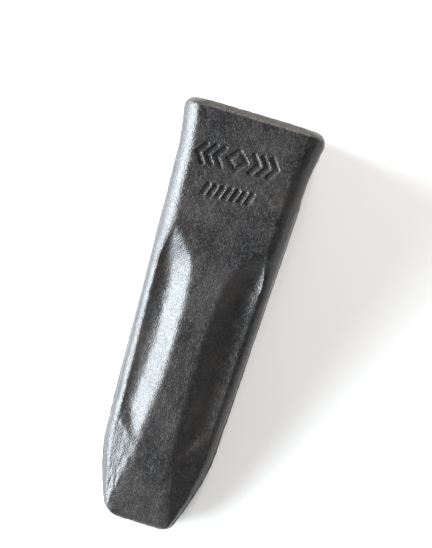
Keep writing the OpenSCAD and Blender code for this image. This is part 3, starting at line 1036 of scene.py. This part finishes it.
def moulded_rubber(colours):
    """Black rubber with the fine matte texture of its mould, and a pale bloom in places."""
    material, book, vector, edge = start_material("moulded_rubber")
    grain = grouped(book, cast_grain(), {
        "Vector": vector, "Grains per metre": 2200.0, "Patches per metre": 60.0, "Pits": 0.1,
    })
    wear = grouped(book, edge_wear(), {"Vector": vector, "Edge": edge, "Reach": 0.7})
    dust = grouped(book, settled_dust(), {
        "Vector": vector, "Edge": edge, "Facing up": 0.25, "In hollows": 0.5,
    })["Dust"]
    bloomed = book.mix(book.math("MULTIPLY", grain["Patch"], 0.4), colours.rubber, RUBBER_BLOOM)
    scuffed = book.mix(book.math("MULTIPLY", wear["Worn"], 0.5), bloomed, WORN_PAINT)
    dusty = book.mix(dust, scuffed, colours.dust)
    roughness = book.math("MULTIPLY_ADD", grain["Speck"], 0.12, 0.68)
    close_material(book, dusty, roughness, grain["Height"], 0.0003, 0.4, Specular_IOR_Level=0.35)
    return material


def floor_material(colours):
    material, book, vector, _ = start_material("pale_floor")
    cloud = book.noise(vector, 3.0, 2.0, 0.5)
    pale = book.mix(book.math("MULTIPLY", cloud, 0.06), colours.floor, (0.8, 0.8, 0.8, 1.0))
    fine = book.noise(vector, 400.0, 2.0, 0.5)
    close_material(book, pale, book.math("MULTIPLY_ADD", fine, 0.08, 0.75), fine, 0.0002, 0.1)
    return material


# Operators


def settings():
    scene = bpy.context.scene
    return scene.bucket_tooth_casting, scene.bucket_tooth_lock, scene.bucket_tooth_colours


class BUCKET_TOOTH_OT_casting(bpy.types.Operator):
    """Models the cast point: box, rib, flutes, bevelled tip, socket, pin holes and retainer channel"""

    bl_idname = "bucket_tooth.casting"
    bl_label = "Cast Point"

    def execute(self, context):
        sizes, _, colours = settings()
        form = ToothForm(sizes)
        shape = skin_mesh(form.skin_rings())
        uneven(shape, sizes.swell, sizes.ripple)
        sink_marks(shape, form)
        shape = subtract(shape, hole_cutters(form))
        note_socket(shape, form)
        bmesh.ops.transform(shape, matrix=LAY_DOWN, verts=shape.verts)
        add_piece("cast_point", shape, black_paint(colours), "tooth", "tooth_point")
        return {"FINISHED"}


class BUCKET_TOOTH_OT_lock_pin(bpy.types.Operator):
    """Models the turned lock pin, with its chamfered ends, centre marks and the groove for the ring"""

    bl_idname = "bucket_tooth.lock_pin"
    bl_label = "Lock Pin"

    def execute(self, context):
        _, lock, colours = settings()
        low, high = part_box("lock_pin")
        ring_low, ring_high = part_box("retainer_ring")
        bottom, top = low.y, high.y
        groove = PIN_RADIUS - lock.groove_depth
        gap = lock.ring_clearance
        dimple, soft = 3.2 * MM, 0.5 * MM
        end = PIN_RADIUS - lock.pin_chamfer
        corners = [
            (end, bottom), (PIN_RADIUS, bottom + lock.pin_chamfer),
            (PIN_RADIUS, ring_low.y - gap), (groove, ring_low.y - gap),
            (groove, ring_high.y + gap), (PIN_RADIUS, ring_high.y + gap),
            (PIN_RADIUS, top - lock.pin_chamfer), (end, top),
        ]
        outline = rounded([(dimple, bottom)] + corners + [(dimple, top)], soft, 3)
        profile = [(0.0, bottom + 1.8 * MM)] + outline + [(0.0, top - 1.8 * MM)]
        shape = turned(profile, lock.turns)
        steel = turned_steel("turned_steel", colours.steel, PIN_OXIDE)
        add_piece("turned_lock_pin", shape, steel, "pin", "lock_pin")
        return {"FINISHED"}


class BUCKET_TOOTH_OT_ring(bpy.types.Operator):
    """Models the split spring ring that snaps into the pin's groove"""

    bl_idname = "bucket_tooth.ring"
    bl_label = "Split Ring"

    def execute(self, context):
        _, lock, colours = settings()
        low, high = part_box("retainer_ring")
        inner = PIN_RADIUS - lock.groove_depth + lock.ring_clearance
        outer = (high.x - low.x) / 2
        section = rounded([(inner, low.y), (outer, low.y), (outer, high.y), (inner, high.y)], 0.7 * MM, 4)
        half_gap = lock.ring_gap / 2
        cut = math.asin(half_gap / ((inner + outer) / 2))
        shape = turned(section, lock.turns, math.tau - 2 * cut)
        bmesh.ops.rotate(shape, verts=shape.verts, cent=(0, 0, 0), matrix=Matrix.Rotation(cut, 3, "Y"))
        bmesh.ops.transform(shape, matrix=LAY_DOWN, verts=shape.verts)
        spring = turned_steel("blued_spring_steel", colours.spring, RING_OXIDE)
        add_piece("split_ring", shape, spring, "retainer", "retainer_ring")
        return {"FINISHED"}


class BUCKET_TOOTH_OT_bush(bpy.types.Operator):
    """Models the rubber bush that holds the ring in the tooth's wall"""

    bl_idname = "bucket_tooth.bush"
    bl_label = "Rubber Bush"

    def execute(self, context):
        sizes, lock, colours = settings()
        low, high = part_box("retainer_bush")
        ring_low, ring_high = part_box("retainer_ring")
        outer = (high.x - low.x) / 2
        bore = PIN_RADIUS + sizes.hole_clearance
        pocket = (ring_high.x - ring_low.x) / 2 + lock.ring_clearance
        gap = lock.ring_clearance
        lip = 0.9 * MM
        section = rounded([
            (bore, low.y), (outer, low.y), (outer, high.y), (bore, high.y),
            (bore, ring_high.y + gap), (pocket, ring_high.y + gap),
            (pocket, ring_low.y - gap), (bore, ring_low.y - gap),
        ], lip, 4)
        shape = turned(section, lock.turns)
        add_piece("rubber_bush", shape, moulded_rubber(colours), "retainer", "retainer_bush")
        return {"FINISHED"}


# The camera looks down on the broad face, with the tooth's tip low on the left.
LOOK_AT = Vector((0.0964, 0.0045, -0.010))
LOOK_FROM = Vector((0.1139, 0.0117, 1.0)).normalized()
DISTANCE = 2.0
LENS = 151.1
ROLL = 0.2937
# Soft lights: name, offset from the lit place, size in metres, watts and tint.
LIT_PLACE = Vector((0.12, 0.0, 0.0))
LAMPS = (
    ("window", (0.40, -1.40, 0.40), (1.9, 0.90), 165.0, (0.84, 0.93, 1.0)),
    ("ceiling", (-1.4, 0.5, 1.9), (1.2, 1.2), 50.0, (1.0, 0.97, 0.93)),
    ("back", (-1.9, 0.3, 0.42), (1.4, 0.6), 12.0, (1.0, 0.95, 0.88)),
)


class BUCKET_TOOTH_OT_stage(bpy.types.Operator):
    """Lays the pale floor, and sets up the soft lights and the camera"""

    bl_idname = "bucket_tooth.stage"
    bl_label = "Stage"

    def execute(self, context):
        _, _, colours = settings()
        scene = context.scene
        ground = bmesh.new()
        bmesh.ops.create_grid(ground, x_segments=1, y_segments=1, size=12.0)
        bmesh.ops.translate(ground, verts=ground.verts, vec=(0, 0, CAD_BOX[0].z))
        mesh = bpy.data.meshes.new("pale_floor")
        ground.to_mesh(mesh)
        ground.free()
        floor = bpy.data.objects.new("pale_floor", mesh)
        floor.data.materials.append(floor_material(colours))
        scene.collection.objects.link(floor)

        world = bpy.data.worlds.new("soft_room")
        world.use_nodes = True
        world.node_tree.nodes["Background"].inputs["Color"].default_value = (0.9, 0.94, 1.0, 1.0)
        world.node_tree.nodes["Background"].inputs["Strength"].default_value = 0.18
        scene.world = world
        scene.view_settings.view_transform = "Standard"

        camera = bpy.data.objects.new("camera", bpy.data.cameras.new("camera"))
        camera.data.lens = LENS
        camera.data.sensor_width = 36.0
        camera.data.clip_end = 30.0
        right = (-LOOK_FROM).cross(Vector((-1, 0, 0))).normalized()
        up = right.cross(-LOOK_FROM)
        image_right = right * math.cos(ROLL) + up * math.sin(ROLL)
        image_up = up * math.cos(ROLL) - right * math.sin(ROLL)
        turn = Matrix((image_right, image_up, LOOK_FROM)).transposed()
        camera.matrix_world = Matrix.Translation(LOOK_AT + LOOK_FROM * DISTANCE) @ turn.to_4x4()
        scene.collection.objects.link(camera)
        scene.camera = camera

        for lamp in LAMPS:
            self.softbox(*lamp)
        return {"FINISHED"}

    @staticmethod
    def softbox(name, offset, size_m, watts, tint):
        lamp = bpy.data.lights.new(name, "AREA")
        lamp.shape = "RECTANGLE"
        lamp.size, lamp.size_y = size_m
        lamp.energy = watts
        lamp.color = tint
        box = bpy.data.objects.new(name, lamp)
        box.location = LIT_PLACE + Vector(offset)
        box.rotation_mode = "QUATERNION"
        box.rotation_quaternion = Vector(offset).to_track_quat("Z", "Y")
        box.visible_camera = False
        bpy.context.scene.collection.objects.link(box)


class BUCKET_TOOTH_PT_panel(bpy.types.Panel):
    """Lists the tooth's sizes, finishes and pieces"""

    bl_idname = "BUCKET_TOOTH_PT_panel"
    bl_label = "Bucket Tooth"
    bl_space_type = "VIEW_3D"
    bl_region_type = "UI"
    bl_category = "Bucket Tooth"

    def draw(self, context):
        for group in settings():
            box = self.layout.box()
            for name in group.__annotations__:
                box.prop(group, name)
        for operator in OPERATORS:
            self.layout.operator(operator.bl_idname)


GROUPS = (BucketToothCasting, BucketToothLock, BucketToothColours)
OPERATORS = (
    BUCKET_TOOTH_OT_casting,
    BUCKET_TOOTH_OT_lock_pin,
    BUCKET_TOOTH_OT_ring,
    BUCKET_TOOTH_OT_bush,
    BUCKET_TOOTH_OT_stage,
)


def register():
    for item in GROUPS + OPERATORS + (BUCKET_TOOTH_PT_panel,):
        bpy.utils.register_class(item)
    bpy.types.Scene.bucket_tooth_casting = PointerProperty(type=BucketToothCasting)
    bpy.types.Scene.bucket_tooth_lock = PointerProperty(type=BucketToothLock)
    bpy.types.Scene.bucket_tooth_colours = PointerProperty(type=BucketToothColours)


def unregister():
    del bpy.types.Scene.bucket_tooth_colours
    del bpy.types.Scene.bucket_tooth_lock
    del bpy.types.Scene.bucket_tooth_casting
    for item in reversed(GROUPS + OPERATORS + (BUCKET_TOOTH_PT_panel,)):
        bpy.utils.unregister_class(item)


def main():
    register()
    bpy.ops.bucket_tooth.casting()
    bpy.ops.bucket_tooth.lock_pin()
    bpy.ops.bucket_tooth.ring()
    bpy.ops.bucket_tooth.bush()
    bpy.ops.bucket_tooth.stage()


if __name__ == "__main__":
    main()
